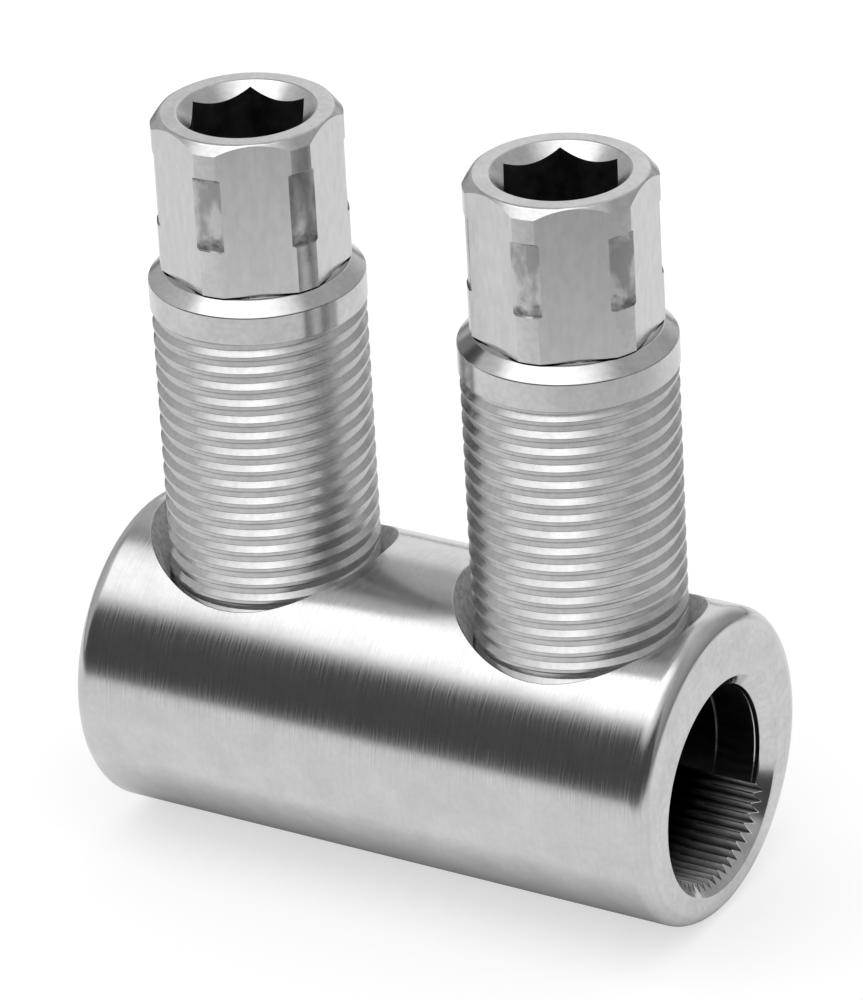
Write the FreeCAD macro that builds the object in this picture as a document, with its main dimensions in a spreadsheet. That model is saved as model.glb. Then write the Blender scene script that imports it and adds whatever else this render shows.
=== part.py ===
import FreeCAD, Part
import Sketcher
import os

# Two-bolt line connector: a round barrel with a blind eccentric bore in each end
# and two one-piece shear bolts standing in countersunk holes along its top.
# Millimetres. X runs along the barrel, Z is up, the barrel's underside is at Z = 0.

os.makedirs("parts", exist_ok=True)
doc = FreeCAD.newDocument("line_connector")
sheet = doc.addObject("Spreadsheet::Sheet", "Sizes")


class Size:
    """A number that remembers the sheet formula it comes from."""

    def __init__(self, value, text):
        self.value = value
        self.text = text

    def join(self, sign, other, value):
        text = other.text if isinstance(other, Size) else repr(other)
        return Size(value, "(" + self.text + " " + sign + " " + text + ")")

    def __add__(self, other):
        return self.join("+", other, self.value + number(other))

    def __sub__(self, other):
        return self.join("-", other, self.value - number(other))

    def __mul__(self, other):
        return self.join("*", other, self.value * number(other))

    def __truediv__(self, other):
        return self.join("/", other, self.value / number(other))


def number(item):
    return item.value if isinstance(item, Size) else item


rows = []


def size(name, value):
    """Write one named size to the sheet."""
    rows.append(name)
    row = str(len(rows))
    sheet.set("A" + row, name)
    sheet.set("B" + row, repr(value))
    sheet.setAlias("B" + row, name)
    return Size(value, "Sizes." + name)


# Barrel
barrel_radius = size("barrel_radius", 9.0)
barrel_length = size("barrel_length", 36.45)
barrel_rounding = size("barrel_rounding", 1.0)

# Conductor bores
bore_radius = size("bore_radius", 5.5)
bore_drop = size("bore_drop", 1.1)
mouth_radius = size("mouth_radius", 5.6)
mouth_depth = size("mouth_depth", 3.4)
mouth_chamfer = size("mouth_chamfer", 0.7)
partition_thickness = size("partition_thickness", 2.5)

# Serrations in the lower part of each bore
tooth_depth = size("tooth_depth", 0.4)
tooth_width = size("tooth_width", 0.5)
tooth_overlap = size("tooth_overlap", 0.2)
tooth_count = size("tooth_count", 21)
tooth_spread = size("tooth_spread", 120.0)
tooth_runout = size("tooth_runout", 1.0)

# Bolt thread, plain here and cut in full on the visible model
thread_radius = size("thread_radius", 5.93)
thread_clearance = size("thread_clearance", 0.07)

# Countersunk holes for the bolts
hole_spacing = size("hole_spacing", 19.5)
countersink_radius = size("countersink_radius", 7.2)
countersink_depth = size("countersink_depth", 2.6)
cut_margin = size("cut_margin", 0.5)

# Bolt, levels counted up from its tip
tip_level = size("tip_level", 13.59)
tip_chamfer = size("tip_chamfer", 0.8)
collar_base = size("collar_base", 18.51)
collar_radius = size("collar_radius", 6.0)
collar_height = size("collar_height", 1.63)
shoulder_radius = size("shoulder_radius", 5.2)
shoulder_rise = size("shoulder_rise", 0.64)
shear_radius = size("shear_radius", 4.6)
shear_width = size("shear_width", 0.15)

# Bolt head
head_height = size("head_height", 9.0)
head_flats = size("head_flats", 9.7)
head_corner_radius = size("head_corner_radius", 5.27)
head_top_radius = size("head_top_radius", 4.77)
head_chamfer_drop = size("head_chamfer_drop", 0.55)
corner_groove_radius = size("corner_groove_radius", 5.19)
corner_groove_low = size("corner_groove_low", 2.7)
corner_groove_high = size("corner_groove_high", 7.05)
left_bolt_turn = size("left_bolt_turn", -55.3)
right_bolt_turn = size("right_bolt_turn", -53.6)

# Key socket
socket_flats = size("socket_flats", 6.08)
socket_depth = size("socket_depth", 5.5)
socket_mouth_radius = size("socket_mouth_radius", 3.82)
socket_turn = size("socket_turn", 23.0)

# Derived levels
zero = Size(0.0, "0")
axis_level = barrel_radius
bore_level = barrel_radius - bore_drop
half_length = barrel_length / 2
bore_end = partition_thickness / 2
hole_radius = thread_radius + thread_clearance
hole_offset = hole_spacing / 2
barrel_top = barrel_radius * 2
collar_top = collar_base + collar_height
shoulder_top = collar_top + shoulder_rise
head_base = shoulder_top + shear_width
bolt_length = head_base + head_height

doc.recompute()


def bind(item, path, formula):
    item.setExpression(path, formula.text)


def plane(body, role):
    for feature in body.Origin.OriginFeatures:
        if feature.Role == role:
            return feature


def new_sketch(body, name, role, across=None, up=None, out=None, turn=None):
    """Open a sketch on one of the body's own planes, shifted if asked."""
    sketch = body.newObject("Sketcher::SketchObject", name)
    sketch.AttachmentSupport = [(plane(body, role), "")]
    sketch.MapMode = "FlatFace"
    shift = FreeCAD.Vector(*(number(item or 0.0) for item in (across, up, out)))
    axis = FreeCAD.Vector(0, 0, 1)
    sketch.AttachmentOffset = FreeCAD.Placement(shift, FreeCAD.Rotation(axis, number(turn or 0.0)))
    for item, path in ((across, "x"), (up, "y"), (out, "z")):
        if item is not None:
            bind(sketch, "AttachmentOffset.Base." + path, item)
    if turn is not None:
        bind(sketch, "AttachmentOffset.Rotation.Angle", turn)
    return sketch


def outline(sketch, points):
    """Draw a closed run of straight lines with every corner set from the sheet."""
    corners = [FreeCAD.Vector(number(x), number(y), 0) for x, y in points]
    first = sketch.GeometryCount
    count = len(corners)
    for index in range(count):
        line = Part.LineSegment(corners[index], corners[(index + 1) % count])
        sketch.addGeometry(line, False)
    for index in range(count):
        after = first + (index + 1) % count
        sketch.addConstraint(Sketcher.Constraint("Coincident", first + index, 2, after, 1))
    for index, (x, y) in enumerate(points):
        for kind, item, letter in (("DistanceX", x, "across"), ("DistanceY", y, "up")):
            rule = Sketcher.Constraint(kind, -1, 1, first + index, 1, number(item))
            number_at = sketch.addConstraint(rule)
            label = letter + "_" + str(first + index)
            sketch.renameConstraint(number_at, label)
            bind(sketch, "Constraints." + label, item)


def circle(sketch, radius):
    """Draw a circle about the sketch's own origin."""
    shape = Part.Circle(FreeCAD.Vector(0, 0, 0), FreeCAD.Vector(0, 0, 1), number(radius))
    at = sketch.addGeometry(shape, False)
    sketch.addConstraint(Sketcher.Constraint("Coincident", at, 3, -1, 1))
    rule = sketch.addConstraint(Sketcher.Constraint("Radius", at, number(radius)))
    label = "radius_" + str(at)
    sketch.renameConstraint(rule, label)
    bind(sketch, "Constraints." + label, radius)


# A hexagon is this much of its width across flats from the middle to a corner
corner_share = 3 ** -0.5


def hexagon(sketch, flats):
    """Draw a hexagon about the sketch's own origin, one flat facing its X axis."""
    apothem = flats / 2
    corner = flats * corner_share
    half_side = corner / 2
    outline(sketch, (
        (apothem, zero - half_side),
        (apothem, half_side),
        (zero, corner),
        (zero - apothem, half_side),
        (zero - apothem, zero - half_side),
        (zero, zero - corner),
    ))


def turn(body, kind, name, sketch, axis):
    """Turn a profile all the way round one axis of its own sketch."""
    feature = body.newObject(kind, name)
    feature.Profile = sketch
    feature.ReferenceAxis = (sketch, [axis])
    feature.Angle = 360.0
    doc.recompute()
    return feature


def build_body():
    """The barrel with both bores, their serrations and the two bolt holes."""
    body = doc.addObject("PartDesign::Body", "connector_body")
    body.Label = "connector_body"

    # Round bar, its length shared equally by the two ends
    round_sketch = new_sketch(body, "barrel_round", "YZ_Plane", up=axis_level)
    circle(round_sketch, barrel_radius)
    barrel = body.newObject("PartDesign::Pad", "barrel")
    barrel.Profile = round_sketch
    barrel.SideType = "Symmetric"
    bind(barrel, "Length", barrel_length)
    doc.recompute()

    # Both rims rounded over
    rims = []
    for index, edge in enumerate(barrel.Shape.Edges):
        if isinstance(edge.Curve, Part.Circle):
            rims.append("Edge" + str(index + 1))
    rounding = body.newObject("PartDesign::Fillet", "rim_rounding")
    rounding.Base = (barrel, rims)
    bind(rounding, "Radius", barrel_rounding)
    doc.recompute()

    for side, sign in (("left", -1), ("right", 1)):
        bore_and_teeth(body, side, sign)
        bolt_hole(body, side, sign)
    return body


def bore_and_teeth(body, side, sign):
    """One blind bore below the barrel's axis, serrated along its lower part."""
    profile = new_sketch(body, "bore_profile_" + side, "XZ_Plane", up=bore_level)
    step = half_length - mouth_depth
    chamfer_start = half_length - mouth_chamfer
    rim = mouth_radius + mouth_chamfer
    outline(profile, (
        (bore_end * sign, zero),
        (bore_end * sign, bore_radius),
        (step * sign, bore_radius),
        (step * sign, mouth_radius),
        (chamfer_start * sign, mouth_radius),
        (half_length * sign, rim),
        ((half_length + cut_margin) * sign, rim),
        ((half_length + cut_margin) * sign, zero),
    ))
    turn(body, "PartDesign::Groove", "bore_" + side, profile, "H_Axis")

    # The first tooth space stands at the bottom of the bore
    space = new_sketch(body, "tooth_space_" + side, "YZ_Plane", up=bore_level,
                       out=half_length * sign)
    apex = mouth_radius + tooth_depth
    inner = mouth_radius - tooth_overlap
    half_width = tooth_width / 2 * (Size(1.0, "1") + tooth_overlap / tooth_depth)
    outline(space, (
        (zero, zero - apex),
        (half_width, zero - inner),
        (zero - half_width, zero - inner),
    ))
    run = half_length - bore_end - tooth_runout
    groove = body.newObject("PartDesign::Pocket", "tooth_cut_" + side)
    groove.Profile = space
    groove.Type = "Length"
    groove.Reversed = sign < 0
    bind(groove, "Length", run)
    doc.recompute()

    # The same space repeated evenly on both sides of the bottom one
    for way, reverse in (("front", False), ("back", True)):
        fan = body.newObject("PartDesign::PolarPattern", "teeth_" + side + "_" + way)
        fan.Originals = [groove]
        fan.Axis = (space, ["N_Axis"])
        fan.Reversed = reverse
        bind(fan, "Angle", tooth_spread / 2)
        bind(fan, "Occurrences", (tooth_count + 1) / 2)
        body.Tip = fan
        doc.recompute()


def bolt_hole(body, side, sign):
    """One countersunk hole from the top of the barrel to the middle of the bore."""
    profile = new_sketch(body, "hole_profile_" + side, "XZ_Plane", across=hole_offset * sign)
    widening = (countersink_radius - hole_radius) / countersink_depth
    outline(profile, (
        (zero, bore_level),
        (hole_radius, bore_level),
        (hole_radius, barrel_top - countersink_depth),
        (countersink_radius + widening * cut_margin, barrel_top + cut_margin),
        (zero, barrel_top + cut_margin),
    ))
    turn(body, "PartDesign::Groove", "bolt_hole_" + side, profile, "V_Axis")


def build_bolt(name, sign, turn_angle):
    """One shear bolt: thread, collar, shear neck and socketed hexagon head in one piece."""
    body = doc.addObject("PartDesign::Body", name)
    body.Label = name
    groove_flank = head_corner_radius - corner_groove_radius

    # Turned blank from tip to head
    blank = new_sketch(body, name + "_blank", "XZ_Plane")
    outline(blank, (
        (zero, zero),
        (thread_radius - tip_chamfer, zero),
        (thread_radius, tip_chamfer),
        (thread_radius, collar_base),
        (collar_radius, collar_base),
        (collar_radius, collar_top),
        (shoulder_radius, shoulder_top),
        (shear_radius, shoulder_top),
        (shear_radius, head_base),
        (head_corner_radius, head_base),
        (head_corner_radius, head_base + corner_groove_low),
        (corner_groove_radius, head_base + corner_groove_low + groove_flank),
        (corner_groove_radius, head_base + corner_groove_high - groove_flank),
        (head_corner_radius, head_base + corner_groove_high),
        (head_corner_radius, bolt_length - head_chamfer_drop),
        (head_top_radius, bolt_length),
        (zero, bolt_length),
    ))
    turn(body, "PartDesign::Revolution", name + "_turned", blank, "V_Axis")

    # Six flats milled down to the shear neck
    flats = new_sketch(body, name + "_flats", "XY_Plane", out=bolt_length)
    circle(flats, head_corner_radius + cut_margin)
    hexagon(flats, head_flats)
    milled = body.newObject("PartDesign::Pocket", name + "_milled")
    milled.Profile = flats
    milled.Type = "Length"
    bind(milled, "Length", head_height)
    doc.recompute()

    # Socket for a hexagon key, its mouth chamfered at 45 degrees
    lead = new_sketch(body, name + "_lead", "XZ_Plane")
    outline(lead, (
        (zero, bolt_length - socket_mouth_radius),
        (socket_mouth_radius + cut_margin, bolt_length + cut_margin),
        (zero, bolt_length + cut_margin),
    ))
    turn(body, "PartDesign::Groove", name + "_chamfer", lead, "V_Axis")
    key = new_sketch(body, name + "_key", "XY_Plane", out=bolt_length, turn=socket_turn)
    hexagon(key, socket_flats)
    socket = body.newObject("PartDesign::Pocket", name + "_socket")
    socket.Profile = key
    socket.Type = "Length"
    bind(socket, "Length", socket_depth)
    doc.recompute()

    # Standing in its hole with the tip just above the conductor bore
    bind(body, "Placement.Base.x", hole_offset * sign)
    bind(body, "Placement.Base.z", tip_level)
    axis = FreeCAD.Vector(0, 0, 1)
    body.Placement = FreeCAD.Placement(
        FreeCAD.Vector(number(hole_offset) * sign, 0, number(tip_level)),
        FreeCAD.Rotation(axis, number(turn_angle)))
    bind(body, "Placement.Rotation.Angle", turn_angle)
    return body


pieces = [
    build_body(),
    build_bolt("shear_bolt_left", -1, left_bolt_turn),
    build_bolt("shear_bolt_right", 1, right_bolt_turn),
]
doc.recompute()

for item in doc.Objects:
    if "Invalid" in item.State or "Error" in item.State:
        raise RuntimeError("not built: " + item.Name)
for piece in pieces:
    shape = piece.Shape
    if shape.isNull() or not shape.isValid() or len(shape.Solids) != 1:
        raise RuntimeError("not one sound solid: " + piece.Label)
    shape.exportStep("parts/" + piece.Label + ".step")
    print(piece.Label, round(shape.Volume, 1), shape.BoundBox)
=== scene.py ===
import math

import bmesh
import bpy
import numpy as np
from mathutils import Matrix, Vector
from mathutils.geometry import delaunay_2d_cdt


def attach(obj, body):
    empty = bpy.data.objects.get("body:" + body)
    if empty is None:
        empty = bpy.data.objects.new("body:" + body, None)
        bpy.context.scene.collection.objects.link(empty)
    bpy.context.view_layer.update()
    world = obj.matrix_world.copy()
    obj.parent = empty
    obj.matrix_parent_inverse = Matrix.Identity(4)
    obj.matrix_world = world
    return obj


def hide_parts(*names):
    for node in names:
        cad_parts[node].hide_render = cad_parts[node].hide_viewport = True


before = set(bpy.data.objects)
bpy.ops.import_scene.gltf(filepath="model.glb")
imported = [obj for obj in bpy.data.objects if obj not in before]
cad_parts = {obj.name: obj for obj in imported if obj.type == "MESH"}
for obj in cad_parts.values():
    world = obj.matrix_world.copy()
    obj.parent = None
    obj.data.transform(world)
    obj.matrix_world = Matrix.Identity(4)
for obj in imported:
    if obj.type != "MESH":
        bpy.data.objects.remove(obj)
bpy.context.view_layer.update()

# Everything below is in millimetres and degrees until a mesh is made
MM = 0.001

# Barrel
barrel_radius = 9.0
half_length = 18.225
rim_rounding = 1.0
rim_start = half_length - rim_rounding
rim_face_radius = barrel_radius - rim_rounding
axis_level = barrel_radius

# Conductor bores, set low in the barrel
bore_radius = 5.5
bore_level = 7.9
bore_end = 1.25
mouth_radius = 5.6
mouth_start = 14.825
mouth_chamfer = 0.7
chamfer_start = half_length - mouth_chamfer
chamfer_radius = mouth_radius + mouth_chamfer

# Fine ring left by the turning tool just inside each mouth
ring_place = 17.2
ring_half = 0.05
ring_height = 0.02

# Serrations, V-shaped grooves whose points lie on one circle
tooth_start = 2.25
tooth_pitch = 6.0
tooth_count = 21
first_tooth = -150.0
tooth_point_radius = 6.0
tooth_slope = 1.6
tooth_edge = 2.595
tooth_outer_edge = 3.318

# Bolt holes
hole_offset = 9.75
hole_radius = 6.0
cone_start = 15.4
cone_slope = 1.2 / 2.6
lip_break = 0.06

# Bolts
tip_level = 13.59
tip_radius = 5.13
thread_radius = 5.93
thread_pitch = 1.0
crest_half = 0.1
upper_flank_end = 0.41
root_end = 0.69
lower_flank_start = 0.76
upper_depth = 0.28
lower_depth = 0.25
thread_bevel = 0.03
tip_chamfer_top = 14.35
collar_base = 32.10
collar_radius = 6.0
collar_top = 33.73
shoulder_radius = 5.2
shoulder_top = 34.45
neck_radius = 4.83
neck_fillet_reach = 0.24
neck_fillet_rise = 0.05
head_base = 34.52
head_top = 43.52
head_flat = 4.85
head_corner = 5.27
head_top_radius = 4.77
head_chamfer_rise = 1.1
groove_radius = 5.19
groove_low = head_base + 2.7
groove_high = head_base + 7.05
socket_flat = 3.04
socket_mouth = 3.82
socket_floor = head_top - 5.5
socket_turn = 23.0
edge_break = 0.05
soft_edge = 0.09
least_overhang = 0.01

# turn is the direction of one flat of the head. crest is how far above whole millimetres
# the thread's crests lie in the direction crest_angle.
BOLTS = {
    "left": {"side": -1, "turn": -55.3, "crest": 0.225},
    "right": {"side": 1, "turn": -53.6, "crest": 0.388},
}
crest_angle = -70.0

# How finely the meshes are cut, and when two of their points are one
column_step = 3.0
bolt_step = 1.5
rim_steps = 10
ledge_steps = 8
barrel_steps = 60
lip_rounds = 40
clear_of_lip = 0.35
angle_slack = 0.01
point_decimals = 4
weld_distance = 0.0004


# Trigonometry in degrees

def cos(angle):
    return math.cos(math.radians(angle))


def sin(angle):
    return math.sin(math.radians(angle))


def slope_angle(rise, run):
    return math.degrees(math.atan2(rise, run))


# Meshes: a rule for the normals of each kind of surface, and the skin that is built from them

def facet(point, flat):
    """A flat face keeps its own normal."""
    return flat


def about_x(level):
    """Normals of a round surface whose axis runs along X at that level."""
    def normal(point, flat):
        return np.array((0.0, point[1], point[2] - level))
    return normal


def turned(centre, tilt):
    """Normals of a surface turned about a bolt's axis, tilted up by so many degrees."""
    def normal(point, flat):
        out = np.array((point[0] - centre, point[1], 0.0))
        out *= cos(tilt) / np.linalg.norm(out)
        out[2] = sin(tilt)
        return out
    return normal


def rim_normal(point, flat):
    """Normals of the rounded rims."""
    out = np.array((0.0, point[1], point[2] - axis_level))
    out *= rim_face_radius / np.linalg.norm(out)
    centre = out + np.array((math.copysign(rim_start, point[0]), 0.0, axis_level))
    return point - centre


def mouth_cone_normal(point, flat):
    """Normals of the 45-degree chamfers at the mouths."""
    out = np.array((0.0, point[1], point[2] - bore_level))
    out /= np.linalg.norm(out)
    out[0] = -math.copysign(1.0, point[0])
    return out


class Skin:
    """A closed mesh built face by face. Each face belongs to a named surface.

    A surface is a material's slot and a rule for its normals: a function, "smooth" for the
    mean of its own faces, or "soft" for the mean of the surfaces beside it.
    """

    def __init__(self, surfaces):
        self.surfaces = surfaces
        self.names = list(surfaces)
        self.points = []
        self.places = {}
        self.faces = []
        self.kinds = []

    def point(self, where):
        key = tuple(round(value, point_decimals) for value in where)
        if key not in self.places:
            self.places[key] = len(self.points)
            self.points.append(tuple(where))
        return self.places[key]

    def face(self, corners, surface):
        ring = []
        for corner in corners:
            index = self.point(corner)
            if index not in ring:
                ring.append(index)
        if len(ring) > 2:
            self.faces.append(ring)
            self.kinds.append(self.names.index(surface))

    def strip(self, first, second, surfaces):
        """Quads between two lines of points, row by row."""
        for row, surface in enumerate(surfaces):
            if surface:
                corners = (first[row], second[row], second[row + 1], first[row + 1])
                self.face(corners, surface)

    def object(self, name, materials):
        mesh = bpy.data.meshes.new(name)
        mesh.from_pydata(self.points, [], self.faces)
        kinds = mesh.attributes.new("surface", "INT", "FACE")
        kinds.data.foreach_set("value", self.kinds)
        work = bmesh.new()
        work.from_mesh(mesh)
        bmesh.ops.remove_doubles(work, verts=work.verts, dist=weld_distance)
        bmesh.ops.recalc_face_normals(work, faces=work.faces)
        work.to_mesh(mesh)
        work.free()
        self.shade(mesh, materials)
        mesh.transform(Matrix.Scale(MM, 4))
        made = bpy.data.objects.new(name, mesh)
        bpy.context.collection.objects.link(made)
        return made

    def shade(self, mesh, materials):
        """Gives each face its material and each corner the normal of its surface."""
        count = len(mesh.polygons)
        kinds = np.zeros(count, dtype=np.int32)
        mesh.attributes["surface"].data.foreach_get("value", kinds)
        mesh.attributes.remove(mesh.attributes["surface"])
        slots = sorted({surface[0] for surface in self.surfaces.values()})
        for slot in slots:
            mesh.materials.append(materials[slot])
        slot_of = [slots.index(self.surfaces[name][0]) for name in self.names]
        mesh.polygons.foreach_set("material_index", [slot_of[kind] for kind in kinds])
        mesh.polygons.foreach_set("use_smooth", [True] * count)
        mesh.normals_split_custom_set(self.corner_normals(mesh, kinds))

    def corner_normals(self, mesh, kinds):
        """The normal of each corner of each face, by the rule of the face's surface."""
        points = np.zeros(len(mesh.vertices) * 3)
        mesh.vertices.foreach_get("co", points)
        points = points.reshape(-1, 3)
        normals = np.zeros((len(mesh.loops), 3))
        shared = {}
        soft = []
        for polygon in mesh.polygons:
            kind = kinds[polygon.index]
            rule = self.surfaces[self.names[kind]][1]
            flat = np.array(polygon.normal)
            for loop in polygon.loop_indices:
                vertex = mesh.loops[loop].vertex_index
                if rule == "soft":
                    soft.append((loop, vertex, flat))
                    continue
                if rule == "smooth":
                    shared.setdefault((vertex, kind), []).append((loop, flat * polygon.area))
                    continue
                normal = rule(points[vertex], flat)
                if normal @ flat < 0:
                    normal = -normal
                normals[loop] = normal / np.linalg.norm(normal)
        for corners in shared.values():
            total = sum(flat for loop, flat in corners)
            for loop, flat in corners:
                normals[loop] = total / np.linalg.norm(total)
        firm = {}
        for loop in np.nonzero(normals.any(axis=1))[0]:
            firm.setdefault(mesh.loops[loop].vertex_index, []).append(normals[loop])
        for loop, vertex, flat in soft:
            total = sum(firm[vertex]) if vertex in firm else flat
            normals[loop] = total / np.linalg.norm(total)
        return [tuple(normal) for normal in normals]


# The barrel

def barrel_columns():
    """Angles about the bore's axis at which every ring of the barrel has a point."""
    columns = []
    for tooth in range(tooth_count):
        middle = first_tooth + tooth * tooth_pitch
        columns += [middle - tooth_edge, middle, middle + tooth_edge, middle + tooth_pitch / 2]
    columns[-1] = middle + tooth_outer_edge
    columns.append(first_tooth - tooth_outer_edge)
    # The plain part, from just past the last tooth round to just before the first
    columns += [step * column_step for step in range(-8, 69)]
    swap = {column_step * round(notch / column_step): notch for notch in (notch_low, notch_high)}
    return sorted(swap.get(angle, angle) for angle in columns)


def notch_angle(radius):
    """Where the hole's wall meets the step in the bore, for a circle of that radius."""
    reach = mouth_start - hole_offset
    across = math.sqrt(hole_radius ** 2 - reach ** 2)
    return math.degrees(math.acos(across / radius))


notch_low = notch_angle(bore_radius)
notch_high = 180.0 - notch_low

# Places along the two level edges where the hole is wider than the bore
opening_half = math.sqrt(hole_radius ** 2 - bore_radius ** 2)
ledge_places = [hole_offset - opening_half * cos(180.0 * step / ledge_steps)
                for step in range(ledge_steps + 1)]


def tooth_radius(angle, least):
    """Radius of the serrated wall at an angle, on a plain circle of radius least."""
    tooth = min(max(round((angle - first_tooth) / tooth_pitch), 0), tooth_count - 1)
    off = abs(angle - first_tooth - tooth * tooth_pitch)
    if off > tooth_outer_edge + angle_slack:
        return least
    return max(least, tooth_point_radius / (cos(off) + tooth_slope * sin(off)))


def bore_place(along, radius, angle, side):
    return (side * along, radius * cos(angle), bore_level + radius * sin(angle))


def barrel_place(along, angle, radius=barrel_radius):
    return (along, radius * cos(angle), axis_level + radius * sin(angle))


def bore_column(angle, side):
    """Two lines of points: from the bore's end to the hole, and from the hole to the rim."""
    open_above = 0.0 < angle < 180.0
    past_step = notch_low < angle < notch_high
    at_notch = angle in (notch_low, notch_high)
    inner = tooth_radius(angle, bore_radius)
    mouth = tooth_radius(angle, mouth_radius)
    width = math.sqrt(hole_radius ** 2 - (bore_radius * cos(angle)) ** 2)
    if not open_above:
        width = opening_half
    deep = [
        (bore_end, bore_radius),
        (tooth_start, bore_radius),
        (tooth_start, inner),
        (hole_offset - width, inner),
    ]
    near = [(hole_offset + width, inner), (mouth_start, inner), (mouth_start, mouth)]
    if past_step:
        reach = math.sqrt(hole_radius ** 2 - (mouth_radius * cos(angle)) ** 2)
        near = [(hole_offset + reach, mouth_radius)] * 3
    ring = mouth - ring_height if mouth == mouth_radius else mouth
    chamfer_foot = chamfer_start + mouth - mouth_radius
    near += [
        (ring_place - ring_half, mouth),
        (ring_place, ring),
        (ring_place + ring_half, mouth),
        (chamfer_foot - edge_break, mouth),
        (chamfer_foot + edge_break, mouth + edge_break),
        (half_length - edge_break, chamfer_radius - edge_break),
        (half_length, chamfer_radius + edge_break),
    ]
    deep = [bore_place(along, radius, angle, side) for along, radius in deep]
    near = [bore_place(along, radius, angle, side) for along, radius in near]
    if at_notch:
        turn = notch_angle(mouth_radius)
        if angle > 90.0:
            turn = 180.0 - turn
        near[2] = bore_place(mouth_start, mouth_radius, turn, side)
    return deep, near


def rim_column(angle, side):
    """Points over the rounded rim, from the end face to the barrel."""
    places = []
    for step in range(rim_steps + 1):
        tilt = 90.0 * step / rim_steps
        along = side * (rim_start + rim_rounding * cos(tilt))
        places.append(barrel_place(along, angle, rim_face_radius + rim_rounding * sin(tilt)))
    return places


def lip_radius(angle):
    """Distance from the hole's axis to its countersunk lip in one direction."""
    radius = hole_radius
    for step in range(lip_rounds):
        level = axis_level + math.sqrt(barrel_radius ** 2 - (radius * sin(angle)) ** 2)
        radius = hole_radius + cone_slope * (level - cone_start)
    return radius


def hole_loop(columns):
    """Foot of the hole's wall as (direction, level) pairs once round, from the bore's points."""
    upper = [angle for angle in columns if 0.0 <= angle <= 180.0]
    near = [bore_column(angle, 1)[1][0] for angle in upper]
    far = [bore_column(angle, 1)[0][3] for angle in reversed(upper)]
    back = []
    for place in ledge_places[1:-1]:
        across = math.sqrt(hole_radius ** 2 - (place - hole_offset) ** 2)
        back.append((place, across, bore_level))
    front = [(along, -across, level) for along, across, level in reversed(back)]
    return [(slope_angle(across, along - hole_offset), level)
            for along, across, level in near + front + far + back]


def hole_place(direction, radius, level, side):
    return (side * (hole_offset + radius * cos(direction)), radius * sin(direction), level)


def on_barrel(direction, radius, side):
    """Point of the barrel's top above a place beside the hole."""
    across = radius * sin(direction)
    level = axis_level + math.sqrt(barrel_radius ** 2 - across ** 2)
    return hole_place(direction, radius, level, side)


def add_hole(skin, columns, side):
    """Wall, countersink and lip of one bolt hole. Returns the lip's outline on the barrel."""
    lines = []
    for direction, level in hole_loop(columns):
        lip = lip_radius(direction)
        edge = lip - cone_slope * lip_break
        edge_level = cone_start + (edge - hole_radius) / cone_slope
        lines.append((
            hole_place(direction, hole_radius, level, side),
            hole_place(direction, hole_radius, cone_start, side),
            hole_place(direction, edge, edge_level, side),
            on_barrel(direction, lip + lip_break, side),
        ))
    for first, second in zip(lines, lines[1:] + lines[:1]):
        skin.strip(first, second, ("wall_" + str(side), "sink_" + str(side), "lip"))
    return [line[-1] for line in lines]


top_first = 36.0
top_last = 144.0
barrel_rows = [-rim_start + 2 * rim_start * step / barrel_steps
               for step in range(barrel_steps + 1)]


def add_barrel_top(skin, columns, outlines):
    """The barrel's top between its long sides, with the two lips left open."""
    upper = [angle for angle in columns if top_first <= angle <= top_last]
    flat = [(along, angle) for angle in upper for along in barrel_rows]
    kept = []
    for along, angle in flat:
        place = barrel_place(along, angle)
        reach = math.hypot(abs(along) - hole_offset, place[1])
        direction = slope_angle(place[1], abs(along) - hole_offset)
        on_side = angle in (upper[0], upper[-1]) or abs(along) == rim_start
        if on_side or reach > lip_radius(direction) + lip_break + clear_of_lip:
            kept.append((along, angle))
    edges = []
    hole_of = {}
    for outline in outlines:
        start = len(kept)
        for along, across, level in outline:
            hole_of[len(kept)] = start
            kept.append((along, slope_angle(level - axis_level, across)))
        count = len(outline)
        edges += [(start + step, start + (step + 1) % count) for step in range(count)]
    scale = math.radians(barrel_radius)
    flat = [Vector((along, angle * scale)) for along, angle in kept]
    triangles, sources = delaunay_2d_cdt(flat, edges, [], 0, 1e-5, True)[2:4]
    for triangle in triangles:
        indices = [sources[index][0] for index in triangle]
        holes = {hole_of.get(index) for index in indices}
        inside_hole = len(holes) == 1 and None not in holes
        if not inside_hole:
            skin.face([barrel_place(*kept[index]) for index in indices], "barrel")


def add_ledges(skin, side):
    """The two slivers of level floor where the hole is wider than the bore."""
    for sign in (1, -1):
        for first, second in zip(ledge_places, ledge_places[1:]):
            corners = [(side * place, sign * bore_radius, bore_level) for place in (first, second)]
            for place in (second, first):
                outer = math.sqrt(max(hole_radius ** 2 - (place - hole_offset) ** 2, 0.0))
                corners.append((side * place, sign * outer, bore_level))
            skin.face(corners, "ledge")


def barrel_surfaces():
    surfaces = {
        "barrel": ("barrel", about_x(axis_level)),
        "rim": ("barrel", rim_normal),
        "end": ("end_face", facet),
        "soft_end": ("end_face", "soft"),
        "soft_cone": ("chamfer", "soft"),
        "mouth_cone": ("chamfer", mouth_cone_normal),
        "bore": ("bore", about_x(bore_level)),
        "teeth": ("teeth", facet),
        "ledge": ("bore", facet),
        "ring": ("chamfer", facet),
        "lip": ("barrel", "soft"),
    }
    cone_tilt = -slope_angle(cone_slope, 1.0)
    for side in (-1, 1):
        surfaces["wall_" + str(side)] = ("hole", turned(side * hole_offset, 0.0))
        surfaces["sink_" + str(side)] = ("countersink", turned(side * hole_offset, cone_tilt))
    return surfaces


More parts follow.
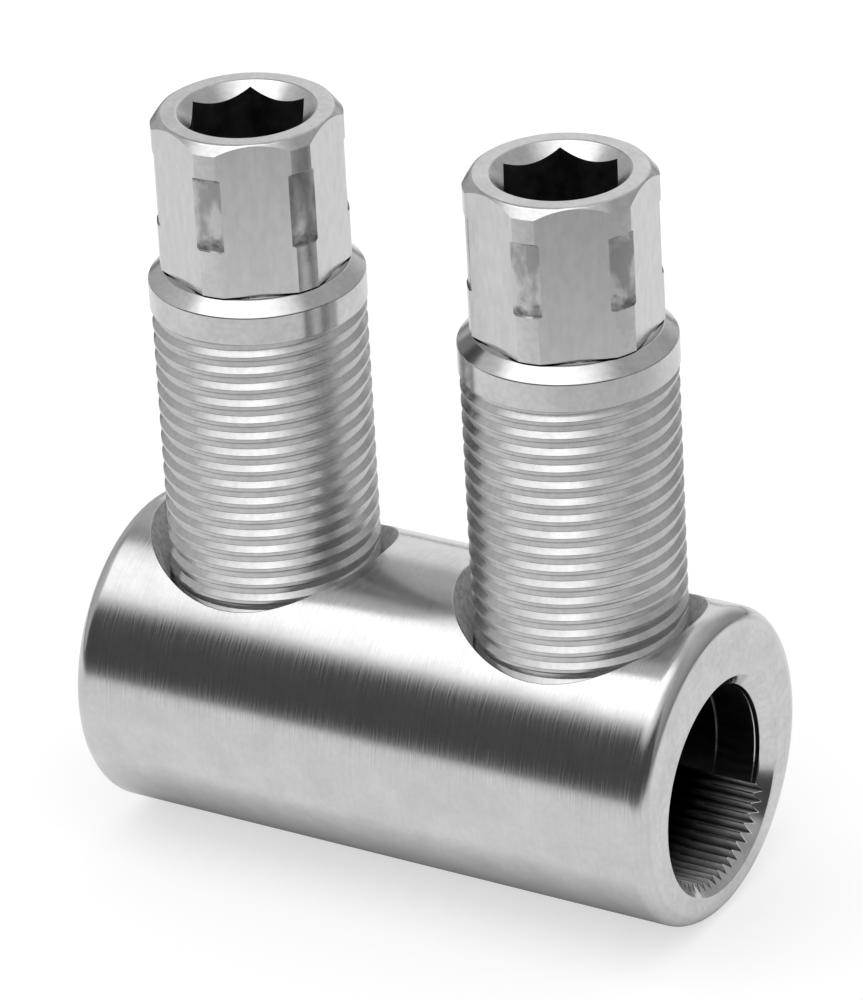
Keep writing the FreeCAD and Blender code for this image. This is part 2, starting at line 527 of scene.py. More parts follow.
def add_sector(skin, first, second, side):
    """One end of the barrel between two angles: bore, mouth, end face and rim."""
    middle = (first + second) / 2
    wall = "teeth" if tooth_radius(middle, bore_radius) > bore_radius else "bore"
    mouth = "teeth" if tooth_radius(middle, mouth_radius) > mouth_radius else "bore"
    ring = "teeth" if mouth == "teeth" else "ring"
    deep_1, near_1 = bore_column(first, side)
    deep_2, near_2 = bore_column(second if second < 360.0 else second - 360.0, side)
    skin.strip(deep_1, deep_2, ("bore", "ledge", wall))
    near_surfaces = (
        wall, "ledge", mouth, ring, ring, mouth, "soft_cone", "mouth_cone", "soft_end",
    )
    skin.strip(near_1, near_2, near_surfaces)
    open_above = 0.0 < middle % 360.0 < 180.0
    if not open_above:
        inner_1 = tooth_radius(first, bore_radius)
        inner_2 = tooth_radius(second, bore_radius)
        line_1 = [bore_place(place, inner_1, first, side) for place in ledge_places]
        line_2 = [bore_place(place, inner_2, second, side) for place in ledge_places]
        skin.strip(line_1, line_2, [wall] * ledge_steps)
    rim_1 = rim_column(first, side)
    rim_2 = rim_column(second, side)
    skin.face((near_1[-1], near_2[-1], rim_2[0], rim_1[0]), "end")
    skin.strip(rim_1, rim_2, ["rim"] * rim_steps)


def make_barrel(materials):
    skin = Skin(barrel_surfaces())
    columns = barrel_columns()
    pairs = list(zip(columns, columns[1:] + [columns[0] + 360.0]))
    outlines = []
    for side in (-1, 1):
        floor = [bore_place(bore_end, bore_radius, angle, side) for angle in columns]
        skin.face(floor, "ledge")
        for first, second in pairs:
            add_sector(skin, first, second, side)
        outlines.append(add_hole(skin, columns, side))
        add_ledges(skin, side)
    for first, second in pairs:
        if not top_first <= (first + second) / 2 <= top_last:
            line_1 = [barrel_place(along, first) for along in barrel_rows]
            line_2 = [barrel_place(along, second) for along in barrel_rows]
            skin.strip(line_1, line_2, ["barrel"] * barrel_steps)
    add_barrel_top(skin, columns, outlines)
    return skin.object("line_connector_barrel", materials)


# The bolts

# Half of the angle that the groove and the turned corner take at each corner of the head
groove_half = 30.0 - math.degrees(math.acos(head_flat / groove_radius))
corner_half = 30.0 - math.degrees(math.acos(head_flat / head_corner))


def bolt_columns():
    """Angles round the bolt, with one at each edge of the head and each corner of the socket."""
    marks = [0.0, 30.0 - groove_half, 30.0 - corner_half, 30.0, 30.0 + corner_half]
    marks += [30.0 + groove_half, 30.0 + socket_turn, 60.0]
    sector = []
    for first, second in zip(marks, marks[1:]):
        steps = math.ceil((second - first) / bolt_step)
        sector += [first + (second - first) * step / steps for step in range(steps)]
    return [60.0 * turn + angle for turn in range(6) for angle in sector] + [360.0]


def hexagon(angle, flat):
    """Distance from the axis to a hexagon's side."""
    return flat / cos((angle + 30.0) % 60.0 - 30.0)


def thread_form(along):
    """Radius of the thread at a distance up from the middle of a crest."""
    corners = (crest_half, upper_flank_end, root_end, lower_flank_start, thread_pitch - crest_half)
    depths = (0.0, upper_depth, upper_depth, lower_depth, 0.0)
    return thread_radius - float(np.interp(along % thread_pitch, corners, depths))


def thread_rows():
    """Distances up from the middle of a crest, each with the surface that starts there."""
    half_bevel = thread_bevel / 2
    return (
        (thread_bevel - crest_half, "crest"),
        (crest_half - half_bevel, "soft_edge"),
        (crest_half + half_bevel, "upper_flank"),
        (upper_flank_end - half_bevel, "soft_edge"),
        (upper_flank_end + half_bevel, "root"),
        (root_end, "root_corner"),
        (lower_flank_start, "lower_flank"),
        (thread_pitch - crest_half - thread_bevel, "soft_edge"),
    )


def add_thread(skin, columns, bolt, place):
    """The helical thread from the tip up to the collar. Returns its radii at the collar."""
    turns = range(int(tip_level) - 2, int(collar_base) + 2)
    marks = [(turn * thread_pitch + along, surface)
             for turn in turns for along, surface in thread_rows()]
    lines = []
    feet = []
    for angle in columns:
        lead = (angle + bolt["turn"] - crest_angle) / 360.0 * thread_pitch + bolt["crest"]
        line = []
        for along, surface in marks:
            level = min(max(along + lead, tip_level), collar_base)
            radius = min(thread_form(level - lead), tip_radius + level - tip_level)
            line.append(place(radius, angle, level))
        lines.append(line)
        feet.append(thread_form(collar_base - lead))
    for first, second in zip(lines, lines[1:]):
        surfaces = []
        for corner, (_, surface) in zip(first, marks[:-1]):
            surfaces.append("tip_cone" if corner[2] < tip_chamfer_top else surface)
        skin.strip(first, second, surfaces)
    return feet


def head_column(angle, foot):
    """Radius and level of each point from the thread's end to the socket's floor."""
    outer = min(hexagon(angle, head_flat), head_corner)
    groove = min(outer, groove_radius)
    flank = head_corner - max(outer, groove_radius)
    drop = head_corner - groove_radius
    chamfer_foot = head_top - (outer - head_top_radius) * head_chamfer_rise
    socket = hexagon(angle - socket_turn, socket_flat)
    cone_break = edge_break * 0.8
    fine_break = edge_break * 0.6
    mouth_break = soft_edge * 0.6
    top_break = min(soft_edge, (outer - head_top_radius) * 0.6)
    return (
        (foot, collar_base),
        (collar_radius - edge_break, collar_base),
        (collar_radius, collar_base + edge_break),
        (collar_radius, collar_top - edge_break),
        (collar_radius - edge_break, collar_top + cone_break),
        (shoulder_radius + edge_break, shoulder_top - cone_break),
        (shoulder_radius - edge_break, shoulder_top),
        (neck_radius + neck_fillet_reach, shoulder_top),
        (neck_radius + neck_fillet_reach / 3, shoulder_top + neck_fillet_rise * 0.4),
        (neck_radius, shoulder_top + neck_fillet_rise),
        (neck_radius, head_base),
        (max(outer - fine_break, neck_radius + least_overhang), head_base),
        (outer, head_base + fine_break),
        (outer, groove_low + flank),
        (groove, groove_low + drop),
        (groove, groove_high - drop),
        (outer, groove_high - flank),
        (outer, chamfer_foot),
        (head_top_radius + top_break, head_top - top_break * head_chamfer_rise),
        (head_top_radius - soft_edge, head_top),
        (socket_mouth + soft_edge, head_top),
        (socket_mouth - mouth_break, head_top - mouth_break),
        (socket, head_top - (socket_mouth - socket)),
        (socket, socket_floor),
    )


def head_surfaces(middle):
    """Surface of each face up a column, at the angle of its middle."""
    off = abs(middle % 60.0 - 30.0)
    side = "corner" if off < corner_half else "flat"
    groove, flank = ("groove", "flank") if off < groove_half else ("flat", "flat")
    collar = ("under", "soft", "collar", "soft", "cone", "soft", "shoulder")
    neck = ("neck", "neck", "neck", "under", "soft")
    top = ("chamfer", "soft", "annulus", "soft", "lead", "socket")
    return (*collar, *neck, side, flank, groove, flank, side, *top)


def bolt_surfaces(centre):
    """Each surface's material and normals. A tilt is how far a flank leans from upright."""
    cone_tilt = slope_angle(collar_radius - shoulder_radius, shoulder_top - collar_top)
    chamfer_tilt = slope_angle(1.0, head_chamfer_rise)
    upper_tilt = slope_angle(upper_depth, upper_flank_end - crest_half)
    corner_tilt = slope_angle(upper_depth - lower_depth, lower_flank_start - root_end)
    lower_tilt = slope_angle(lower_depth, thread_pitch - crest_half - lower_flank_start)
    return {
        "tip": ("thread", facet),
        "tip_cone": ("thread", "smooth"),
        "crest": ("crest", turned(centre, 0.0)),
        "soft_edge": ("crest", "soft"),
        "upper_flank": ("thread", turned(centre, upper_tilt)),
        "lower_flank": ("thread", turned(centre, -lower_tilt)),
        "root": ("crest", turned(centre, 0.0)),
        "root_corner": ("crest", turned(centre, -corner_tilt)),
        "under": ("collar", facet),
        "shoulder": ("collar", facet),
        "soft": ("collar", "soft"),
        "collar": ("collar", turned(centre, 0.0)),
        "cone": ("collar", turned(centre, cone_tilt)),
        "neck": ("collar", "smooth"),
        "corner": ("head_corner", turned(centre, 0.0)),
        "flat": ("head_flat", facet),
        "groove": ("groove", turned(centre, 0.0)),
        "flank": ("groove", facet),
        "chamfer": ("head_top", turned(centre, chamfer_tilt)),
        "annulus": ("head_top", facet),
        "lead": ("head_top", turned(centre, -45.0)),
        "socket": ("socket", facet),
    }


def make_bolt(name, bolt, materials):
    centre = bolt["side"] * hole_offset
    skin = Skin(bolt_surfaces(centre))
    columns = bolt_columns()

    def place(radius, angle, level):
        turn = angle + bolt["turn"]
        return (centre + radius * cos(turn), radius * sin(turn), level)

    feet = add_thread(skin, columns, bolt, place)
    lines = []
    for angle, foot in zip(columns, feet):
        lines.append([place(radius, angle, level) for radius, level in head_column(angle, foot)])
    for index, (first, second) in enumerate(zip(lines, lines[1:])):
        middle = (columns[index] + columns[index + 1]) / 2
        skin.strip(first, second, head_surfaces(middle))
    skin.face([place(tip_radius, angle, tip_level) for angle in columns[:-1]], "tip")
    skin.face([line[-1] for line in lines[:-1]], "socket")
    return skin.object(name, materials)


# Materials

class Nodes:
    """A material's node tree, with short ways to add the nodes used here."""

    def __init__(self, name):
        self.material = bpy.data.materials.new(name)
        self.material.use_nodes = True
        self.tree = self.material.node_tree
        self.shader = self.tree.nodes["Principled BSDF"]
        self.output = self.tree.nodes["Material Output"]

    def add(self, kind, **settings):
        node = self.tree.nodes.new(kind)
        for key, value in settings.items():
            setattr(node, key, value)
        return node

    def link(self, source, target):
        self.tree.links.new(source, target)

    def math(self, operation, first, second=0.0):
        node = self.add("ShaderNodeMath", operation=operation)
        for socket, value in zip(node.inputs, (first, second)):
            if isinstance(value, (int, float)):
                socket.default_value = value
            else:
                self.link(value, socket)
        return node.outputs[0]

    def plus(self, first, second):
        return self.math("ADD", first, second)

    def times(self, first, second):
        return self.math("MULTIPLY", first, second)

    def position(self, centre=(0, 0, 0)):
        """Place on the piece in millimetres, from a centre."""
        place = self.add("ShaderNodeTexCoord").outputs["Object"]
        node = self.add("ShaderNodeMapping", vector_type="TEXTURE")
        node.inputs["Location"].default_value = [value * MM for value in centre]
        node.inputs["Scale"].default_value = (MM, MM, MM)
        self.link(place, node.inputs["Vector"])
        return node.outputs[0]

    def parts(self, vector):
        node = self.add("ShaderNodeSeparateXYZ")
        self.link(vector, node.inputs[0])
        return node.outputs

    def distance(self, first, second):
        """Distance from an axis, from the two coordinates across it."""
        return self.math("SQRT", self.plus(self.times(first, first), self.times(second, second)))

    def noise(self, vector, scale, detail=2.0, stretch=(1, 1, 1)):
        squeeze = self.add("ShaderNodeMapping")
        squeeze.inputs["Scale"].default_value = stretch
        self.link(vector, squeeze.inputs["Vector"])
        node = self.add("ShaderNodeTexNoise")
        node.inputs["Scale"].default_value = scale
        node.inputs["Detail"].default_value = detail
        self.link(squeeze.outputs[0], node.inputs["Vector"])
        return node.outputs["Fac"]

    def lines(self, value, scale, detail=3.0, roughness=0.6):
        """Random lines at right angles to one coordinate."""
        node = self.add("ShaderNodeTexNoise", noise_dimensions="1D")
        node.inputs["Scale"].default_value = scale
        node.inputs["Detail"].default_value = detail
        node.inputs["Roughness"].default_value = roughness
        self.link(value, node.inputs["W"])
        return node.outputs["Fac"]

    def ramp(self, value, low, high, at=(0.0, 1.0)):
        """Turns at[0]..at[1] into low..high, clamped."""
        node = self.add("ShaderNodeMapRange", clamp=True)
        node.inputs["From Min"].default_value = at[0]
        node.inputs["From Max"].default_value = at[1]
        node.inputs["To Min"].default_value = low
        node.inputs["To Max"].default_value = high
        self.link(value, node.inputs["Value"])
        return node.outputs[0]

    def grey(self, value):
        """A colour with the same value in each channel."""
        node = self.add("ShaderNodeCombineColor")
        for channel in range(3):
            self.link(value, node.inputs[channel])
        return node.outputs[0]

    def relief(self, height, depth):
        """Bump of that depth in millimetres."""
        node = self.add("ShaderNodeBump")
        node.inputs["Distance"].default_value = depth * MM
        self.link(height, node.inputs["Height"])
        self.link(node.outputs[0], self.shader.inputs["Normal"])

    def mix(self, share, first, second):
        """Two shaders, mixed as the material's surface."""
        node = self.add("ShaderNodeMixShader")
        for socket, source in zip(node.inputs, (share, first, second)):
            self.link(source, socket)
        self.link(node.outputs[0], self.output.inputs["Surface"])

    def metal(self, shade, roughness):
        """Bare metal. Its shade comes from a node, and its roughness may be a plain number."""
        self.shader.inputs["Metallic"].default_value = 1.0
        self.link(self.grey(shade), self.shader.inputs["Base Color"])
        if isinstance(roughness, float):
            self.shader.inputs["Roughness"].default_value = roughness
        else:
            self.link(roughness, self.shader.inputs["Roughness"])
        return self.material


metal_shade = 0.62
axis_middle = (0.0, 0.0, axis_level)

# Where most of a noise's values lie, and a narrower part of it
noise_range = (0.3, 0.7)
inner_range = (0.35, 0.65)

# Turning lines: how many to a millimetre, and how far they wander to either side
line_scale = 10.0
streak_scale = 8.0
broad_scale = 1.2
wander = 0.05


def turned_metal(name, coordinate, roughness, depth=0.0003, streaked=0.1, finer=1.0,
                 grained=1.0):
    """Bright tinned metal with fine turning lines across one coordinate.

    streaked and grained are the strength of the lines and of the grain, and finer is how
    much closer the lines lie.
    """
    nodes = Nodes(name)
    place = nodes.position(axis_middle)
    shift = nodes.ramp(nodes.noise(place, 0.35), -wander, wander)
    track = nodes.plus(coordinate(nodes, place), shift)
    fine = nodes.lines(track, line_scale * finer)
    broad = nodes.lines(track, broad_scale, detail=1.0)
    patch = nodes.noise(place, 0.5, detail=3.0)
    line_part = 0.15 + 0.35 * streaked
    low, high = inner_range
    tint = nodes.ramp(nodes.plus(patch, nodes.times(fine, line_part)),
                      metal_shade * 0.94, metal_shade * 1.05,
                      at=(low + line_part * 0.4, high + line_part * 0.6))
    grain = nodes.ramp(nodes.noise(place, 3.0, detail=4.0),
                       1.0 - 0.08 * grained, 1.0 + 0.05 * grained, at=noise_range)
    streaks = nodes.lines(nodes.plus(track, nodes.times(patch, 0.4)), streak_scale * finer)
    rough = nodes.ramp(streaks, roughness * (1.0 - 0.4 * streaked),
                       roughness * (1.0 + 0.7 * streaked), at=(0.38, 0.62))
    nodes.relief(nodes.plus(fine, nodes.times(broad, 0.8)), depth)
    return nodes.metal(nodes.times(tint, grain), rough)


def along_x(nodes, place):
    return nodes.parts(place)[0]


def along_z(nodes, place):
    return nodes.parts(place)[2]


def out_from_barrel(nodes, place):
    parts = nodes.parts(place)
    return nodes.distance(parts[1], parts[2])


def out_from_bolt(centre):
    """Distance from a bolt's axis, for a bolt at that place along the barrel."""
    def coordinate(nodes, place):
        parts = nodes.parts(nodes.position((centre, 0, axis_level)))
        return nodes.distance(parts[0], parts[1])
    return coordinate


def milled_metal(name):
    """Flats of the head, with fine upright milling lines."""
    nodes = Nodes(name)
    place = nodes.position(axis_middle)
    fine = nodes.noise(place, 14.0, stretch=(1, 1, 0.02))
    patch = nodes.noise(place, 0.6, detail=3.0, stretch=(1, 1, 0.4))
    clouds = nodes.noise(place, 2.2, detail=3.0, stretch=(1, 1, 0.5))
    tint = nodes.ramp(nodes.plus(clouds, nodes.times(fine, 0.4)),
                      metal_shade * 0.97, metal_shade * 1.07, at=(0.5, 0.9))
    nodes.relief(fine, 0.004)
    return nodes.metal(tint, nodes.ramp(patch, 0.15, 0.22, at=noise_range))


def mottled_metal(name, shade, roughness, depth=0.03, scale=3.0):
    """Metal left as it was cut or cast, cloudy and uneven."""
    nodes = Nodes(name)
    place = nodes.position(axis_middle)
    clouds = nodes.noise(place, scale, detail=4.0)
    nodes.relief(clouds, depth)
    return nodes.metal(nodes.ramp(clouds, shade * 0.6, shade * 1.3, at=inner_range), roughness)


def smudged_metal(name):
    """Turned recess at the head's corners, darker in cloudy patches near its two ends, most at its
    foot.
    """
    top_reach = 0.45
    foot_reach = 1.3
    darkening_range = (0.4, 0.62)
    nodes = Nodes(name)
    place = nodes.position()
    level = nodes.parts(place)[2]
    clouds = nodes.noise(place, 2.2, detail=3.0)
    # Darker towards both ends of the recess, most towards its foot
    near_top = nodes.ramp(level, 0.0, 0.16, at=(groove_high - top_reach, groove_high))
    near_foot = nodes.ramp(level, 0.3, 0.0, at=(groove_low, groove_low + foot_reach))
    end_darkening = nodes.plus(nodes.times(clouds, 0.6), nodes.plus(near_top, near_foot))
    darkened_tint = nodes.ramp(end_darkening, metal_shade, metal_shade * 0.4, at=darkening_range)
    patch = nodes.noise(place, 0.8, detail=4.0, stretch=(1, 1, 0.5))
    stain = nodes.ramp(patch, 0.6, 1.0, at=(0.42, 0.56))
    nodes.relief(clouds, 0.006)
    return nodes.metal(nodes.times(darkened_tint, stain), nodes.ramp(end_darkening, 0.2, 0.45, at=darkening_range))


def countersink_metal(name):
    """Countersinks, dull as cut, with a little painted light on the right of each bolt."""
    reach = 4.0
    nodes = Nodes(name)
    place = nodes.position(axis_middle)
    clouds = nodes.noise(place, 3.0, detail=4.0)
    along = nodes.parts(place)[0]
    on_right = nodes.math("GREATER_THAN", along, 0.0)
    from_left = nodes.plus(along, nodes.times(on_right, -2 * hole_offset))
    # Painted light: the tint grows a little brighter towards the right of each bolt's axis
    painted_light_on_right = nodes.ramp(from_left, 0.95, 1.0, at=(-hole_offset - reach, reach - hole_offset))
    nodes.relief(clouds, 0.015)
    return nodes.metal(nodes.times(painted_light_on_right, nodes.ramp(clouds, 0.75, 0.95, at=(0.35, 0.6))), 0.8)


def bore_metal(name, painted_mouth_light, near_roughness, first, last):
    """The bore's wall, with painted shadow, dark and even, deep inside and painted light towards
    the mouth, between two distances from the middle, and painted shadow in the grooves between the
    teeth.
    """
    painted_deep_shadow = 0.2
    deep_roughness = 0.3
    painted_groove_shadow = 0.3
    groove_radii = (mouth_radius + 0.05, tooth_point_radius - 0.05)
    nodes = Nodes(name)
    place = nodes.position((0, 0, bore_level))
    parts = nodes.parts(place)
    depth = nodes.math("ABSOLUTE", parts[0])
    clouds = nodes.noise(place, 2.5, detail=4.0, stretch=(0.3, 1, 1))
    # Painted shadow deep inside, rising to painted light near the mouth
    shade = nodes.ramp(depth, painted_deep_shadow, painted_mouth_light, at=(first, last))
    radius = nodes.distance(parts[1], parts[2])
    # Painted shadow in the grooves between the teeth
    shade = nodes.times(shade, nodes.ramp(radius, 1.0, painted_groove_shadow, at=groove_radii))
    shade = nodes.times(shade, nodes.ramp(clouds, 0.7, 1.2, at=noise_range))
    nodes.relief(clouds, 0.01)
    rough = nodes.ramp(depth, deep_roughness, near_roughness, at=(first, last))
    return nodes.metal(shade, rough)


def barrel_materials():
    return {
        "barrel": turned_metal("bright_turned_barrel", along_x, roughness=0.16, depth=0.0013,
                               streaked=0.65, finer=1.15, grained=0.4),
        "end_face": turned_metal("faced_end", out_from_barrel, roughness=0.24),
        "chamfer": turned_metal("mouth_chamfer", out_from_barrel, roughness=0.13),
        # Bore and serrations carry painted shadow deep inside and painted light near the mouth
        "bore": bore_metal("bore_wall", 0.3, 0.3, first=12.0, last=17.5),
        "teeth": bore_metal("serrations", 1.0, 0.75, first=13.5, last=17.0),
        "hole": mottled_metal("threaded_hole_wall", 0.6, 0.7),
        "countersink": countersink_metal("countersink_wall"),
    }


def bolt_materials(side, centre):
    name = "_" + side
    return {
        "thread": turned_metal("thread" + name, along_z, roughness=0.21),
        "crest": turned_metal("thread_crest" + name, along_z, roughness=0.33),
        "collar": turned_metal("collar" + name, along_z, roughness=0.18),
        "head_flat": milled_metal("milled_flat" + name),
        "head_corner": turned_metal("turned_corner" + name, along_z, roughness=0.18),
        "groove": smudged_metal("corner_groove" + name),
        "head_top": turned_metal("turned_head" + name, out_from_bolt(centre), roughness=0.24),
        # Painted shade: the socket's wall gets a dark tone, 0.16, for the shade deep in the socket
        "socket": mottled_metal("socket_wall" + name, 0.16, 0.4, depth=0.004, scale=0.8),
    }


# Camera

def set_camera():
    """The photograph's view, as found from the object's own measured outlines."""
    azimuth, elevation, roll = 31.477, 27.468, -3.264
    distance = 413.912
    aim_right, aim_up = 0.5136, 11.194
    image_height = 1000
    focal_pixels = 7426.8
    back = Vector((sin(azimuth) * cos(elevation), -cos(azimuth) * cos(elevation), sin(elevation)))
    right = Vector((cos(azimuth), sin(azimuth), 0.0))
    up = back.cross(right)
    target = right * aim_right + up * aim_up + Vector((0.0, 0.0, axis_level))
    tilted_right = right * cos(roll) + up * sin(roll)
    tilted_up = up * cos(roll) - right * sin(roll)
    turn = Matrix((tilted_right, tilted_up, back)).transposed()
    data = bpy.data.cameras.new("camera")
    data.sensor_width = 36.0
    data.lens = data.sensor_width * focal_pixels / image_height
    data.clip_start = 10 * MM
    data.clip_end = 50000 * MM
    camera = bpy.data.objects.new("camera", data)
    camera.matrix_world = Matrix.Translation((target + back * distance) * MM) @ turn.to_4x4()
    bpy.context.collection.objects.link(camera)
    bpy.context.scene.camera = camera


# Studio

SQUARE = ((-1, -1), (1, -1), (1, 1), (-1, 1))


def stage_mesh(name, points, faces, material):
    mesh = bpy.data.meshes.new(name)
    mesh.from_pydata([(x * MM, y * MM, z * MM) for x, y, z in points], [], faces)
    mesh.materials.append(material)
    made = bpy.data.objects.new(name, mesh)
    bpy.context.collection.objects.link(made)
    return made


def seen_by_backdrop_rays(tree):
    """1 for the rays that show the plain backdrop: camera, glossy and transmission."""
    rays = tree.nodes.new("ShaderNodeLightPath").outputs
    total = rays["Is Camera Ray"]
    for name in ("Is Glossy Ray", "Is Transmission Ray"):
        node = tree.nodes.new("ShaderNodeMath")
        node.operation = "MAXIMUM"
        tree.links.new(total, node.inputs[0])
        tree.links.new(rays[name], node.inputs[1])
        total = node.outputs[0]
    return total


def set_world(fill):
    """White behind the object and in its reflections, and a plain fill light on the object."""
    world = bpy.data.worlds.new("studio")
    bpy.context.scene.world = world
    world.use_nodes = True
    tree = world.node_tree
    background = tree.nodes["Background"]
    background.inputs["Color"].default_value = (1.0, 1.0, 1.0, 1.0)
    mix = tree.nodes.new("ShaderNodeMapRange")
    mix.inputs["To Min"].default_value = fill
    mix.inputs["To Max"].default_value = 1.0
    tree.links.new(seen_by_backdrop_rays(tree), mix.inputs["Value"])
    tree.links.new(mix.outputs[0], background.inputs["Strength"])


# The floor, and the painted glow on it that the metal reflects: painted light near the object that
# fades away, with a painted contact shadow
floor_half = 3000.0
painted_glow_middle = (-30.0, 13.0)
painted_glow_edge = (84.0, 176.0)
painted_glow_back_share = 0.4
painted_glow_near = 0.93
painted_glow_far = 0.16
painted_contact_shadow_reach = 5.0


def paper_glow_in_metal(nodes):
    """How bright the floor looks in the metal: a soft-edged patch of painted glow, with a painted
    contact shadow from an ambient occlusion node.
    """
    parts = nodes.parts(nodes.position((*painted_glow_middle, 0.0)))
    behind = nodes.times(parts[1], painted_glow_back_share)
    before = nodes.times(parts[1], -1.0)
    reach = nodes.distance(parts[0], nodes.math("MAXIMUM", behind, before))
    # Painted contact shadow: ambient occlusion darkens the painted glow near the object
    contact = nodes.add("ShaderNodeAmbientOcclusion")
    contact.inputs["Distance"].default_value = painted_contact_shadow_reach * MM
    shadow = nodes.math("POWER", contact.outputs["AO"], 0.85)
    return nodes.times(nodes.ramp(reach, painted_glow_near, painted_glow_far, at=painted_glow_edge), shadow)


def set_floor():
    """A pale floor with the object's shadow. In the metal it shows as a painted glow, brightest
    near the object, with a painted contact shadow.
    """
    floor_grey = 0.5
    nodes = Nodes("pale_floor")
    nodes.tree.nodes.remove(nodes.shader)
    rays = nodes.add("ShaderNodeLightPath").outputs
    diffuse = nodes.add("ShaderNodeBsdfDiffuse")
    diffuse.inputs["Color"].default_value = (floor_grey, floor_grey, floor_grey, 1.0)
    white = nodes.add("ShaderNodeEmission")
    nodes.link(nodes.ramp(rays["Is Camera Ray"], 0.0, 0.6), white.inputs["Strength"])
    seen = nodes.add("ShaderNodeAddShader")
    nodes.link(diffuse.outputs[0], seen.inputs[0])
    nodes.link(white.outputs[0], seen.inputs[1])
    # Glossy rays see painted light here: a glow that fades with distance from the object
    glow = nodes.add("ShaderNodeEmission")
    nodes.link(paper_glow_in_metal(nodes), glow.inputs["Strength"])
    nodes.mix(rays["Is Glossy Ray"], seen.outputs[0], glow.outputs[0])
    corners = [(x * floor_half, y * floor_half, 0) for x, y in SQUARE]
    stage_mesh("floor", corners, [(0, 1, 2, 3)], nodes.material)


def card_material(name, shade, cover):
    """A plain card with soft edges. cover(nodes) is 1 on the card and 0 past its edge."""
    nodes = Nodes(name)
    nodes.tree.nodes.remove(nodes.shader)
    glow = nodes.add("ShaderNodeEmission")
    glow.inputs["Strength"].default_value = shade
    clear = nodes.add("ShaderNodeBsdfTransparent")
    nodes.mix(cover(nodes), clear.outputs[0], glow.outputs[0])
    return nodes.material


def add_card(name, points, faces, material):
    """A studio card that shows only in reflections."""
    card = stage_mesh(name, points, faces, material)
    card.visible_camera = False
    card.visible_diffuse = False
    card.visible_shadow = False
    card.visible_transmission = False


def set_round_flag(name, first, last, high, shade, cover, reach=700.0):
    """A curved flag round the object between two directions, from the floor up.

    Its cover is worked out from the direction's east and north parts and the rise in degrees.
    """
    steps = 40
    low = -1.0

    def soft_cover(nodes):
        parts = nodes.parts(nodes.position())
        flat = nodes.distance(parts[0], parts[1])
        slope = nodes.math("ARCTANGENT", nodes.math("DIVIDE", parts[2], flat))
        east = nodes.math("DIVIDE", parts[0], flat)
        north = nodes.math("DIVIDE", parts[1], flat)
        return cover(nodes, east, north, nodes.times(slope, 180.0 / math.pi))

    points = []
    for step in range(steps + 1):
        angle = first + (last - first) * step / steps
        for rise in (low, high):
            level = reach * math.tan(math.radians(rise))
            points.append((reach * cos(angle), reach * sin(angle), level))
    faces = [(2 * i, 2 * i + 2, 2 * i + 3, 2 * i + 1) for i in range(steps)]
    add_card(name, points, faces, card_material(name + "_cloth", shade, soft_cover))


def front_cover(nodes, east, north, rise):
    """The dark, unlit room in front, reaching a little higher on the left."""
    leaning = nodes.plus(rise, nodes.times(east, 5.0))
    leaning = nodes.plus(leaning, nodes.ramp(east, 15.0, 0.0, at=(-0.85, -0.6)))
    top = nodes.ramp(leaning, 1.0, 0.0, at=(33.0, 47.0))
    foot = nodes.ramp(rise, 0.6, 1.0, at=(-1.0, 2.0))
    return nodes.times(top, foot)


def left_cover(nodes, east, north, rise):
    """The grey room to the left."""
    return nodes.ramp(rise, 0.85, 0.5, at=(20.0, 55.0))


def back_cover(nodes, east, north, rise):
    """The grey room to the right and behind, paler to the left and higher up."""
    left = nodes.ramp(nodes.math("SUBTRACT", north, east), 1.0, 0.0, at=(0.7, 1.35))
    right = nodes.ramp(north, 0.0, 1.0, at=(-0.7, -0.2))
    low = nodes.ramp(rise, 0.9, 0.62, at=(15.0, 38.0))
    high = nodes.ramp(rise, 1.0, 0.6, at=(38.0, 62.0))
    return nodes.times(nodes.times(left, right), nodes.times(low, high))


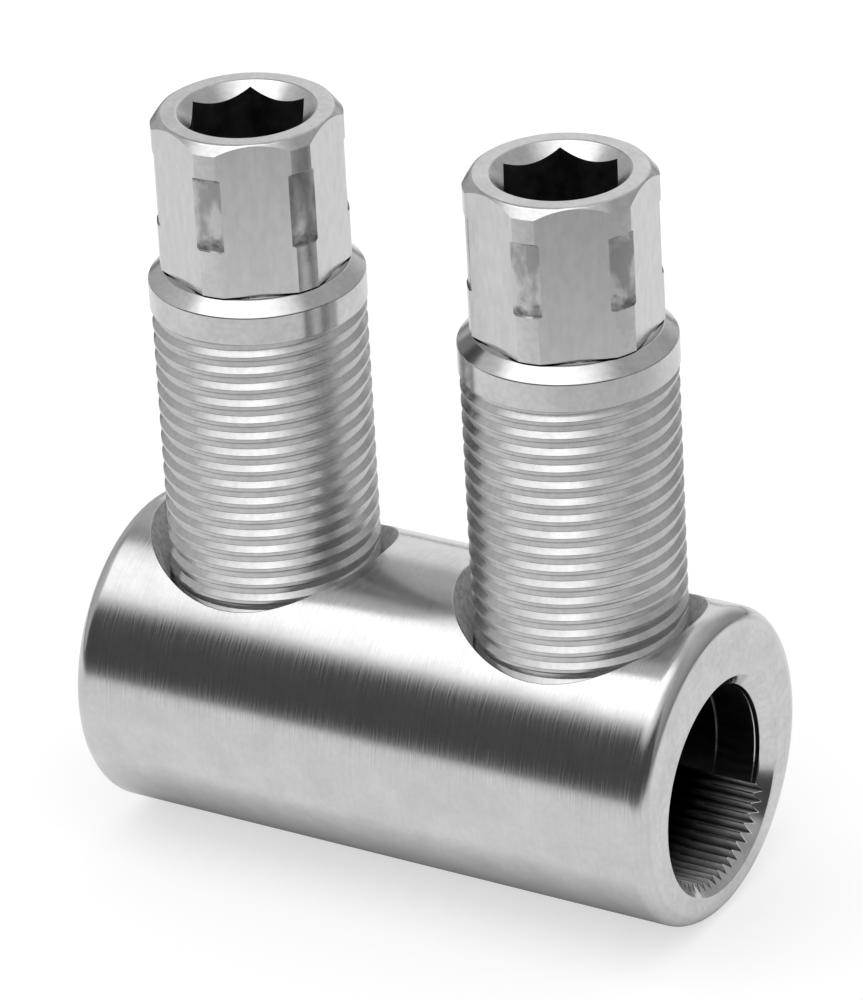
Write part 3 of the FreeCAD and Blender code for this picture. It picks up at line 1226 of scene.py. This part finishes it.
def set_top_flag():
    """A grey flag behind the softbox, between it and the pale back wall."""
    level = 450.0
    wide = 800.0
    front, back = 20.0, 800.0

    def cover(nodes):
        parts = nodes.parts(nodes.position())
        near = nodes.ramp(parts[1], 0.0, 1.0, at=(25.0, 85.0))
        aside = nodes.ramp(parts[0], 0.92, 0.6, at=(-230.0, 20.0))
        far = nodes.ramp(parts[1], 1.0, 0.45, at=(150.0, 270.0))
        end = nodes.ramp(parts[1], 1.0, 0.0, at=(480.0, 700.0))
        return nodes.times(nodes.times(near, aside), nodes.times(far, end))

    middle, half = (front + back) / 2, (back - front) / 2
    points = [(x * wide, middle + y * half, level) for x, y in SQUARE]
    add_card("top_flag", points, [(0, 1, 2, 3)], card_material("grey_ceiling", 0.32, cover))


# The softbox, and the soft edges of its glow, which reach past the lamp's own edges
softbox_level = 450.0
softbox_middle = (-65.0, -125.0)
softbox_half = (265.0, 150.0)
glow_half = (330.0, 300.0)
glow_strength = 1.9


def set_softbox():
    """The soft light overhead, a little to the front left: a lamp, and its glow in the metal."""
    x, y = softbox_middle
    wide, deep = softbox_half
    data = bpy.data.lights.new("softbox", "AREA")
    data.shape = "RECTANGLE"
    data.size = 2 * wide * MM
    data.size_y = 2 * deep * MM
    data.energy = math.pi * data.size * data.size_y
    lamp = bpy.data.objects.new("softbox", data)
    lamp.location = (x * MM, y * MM, softbox_level * MM)
    lamp.visible_glossy = False
    bpy.context.collection.objects.link(lamp)

    def cover(nodes):
        parts = nodes.parts(nodes.position((x, y, 0)))
        across = nodes.ramp(nodes.math("ABSOLUTE", parts[0]), 1.0, 0.0, at=(160.0, 330.0))
        front = nodes.ramp(parts[1], 0.0, 1.0, at=(-295.0, -125.0))
        back = nodes.ramp(parts[1], 1.0, 0.0, at=(45.0, 225.0))
        return nodes.times(across, nodes.times(front, back))

    above = softbox_level + 1.0
    points = [(x + sx * glow_half[0], y + sy * glow_half[1], above) for sx, sy in SQUARE]
    card = card_material("glow", glow_strength, cover)
    add_card("softbox_glow", points, [(0, 1, 2, 3)], card)


# The scene

barrel = make_barrel(barrel_materials())
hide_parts("connector_body")
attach(barrel, "connector")
for side, bolt in BOLTS.items():
    materials = bolt_materials(side, bolt["side"] * hole_offset)
    piece = make_bolt("shear_bolt_" + side + "_threaded", bolt, materials)
    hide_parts("shear_bolt_" + side)
    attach(piece, side + "_bolt")

set_camera()
set_world(fill=0.75)
set_floor()
set_round_flag("left_flag", 125.0, 212.0, 60.0, 0.45, left_cover)
set_round_flag("front_flag", -148.0, -10.0, 50.0, 0.08, front_cover)
set_round_flag("back_flag", -46.0, 165.0, 62.0, 0.3, back_cover, reach=720.0)
set_top_flag()
set_softbox()
bpy.context.scene.view_settings.view_transform = "Standard"
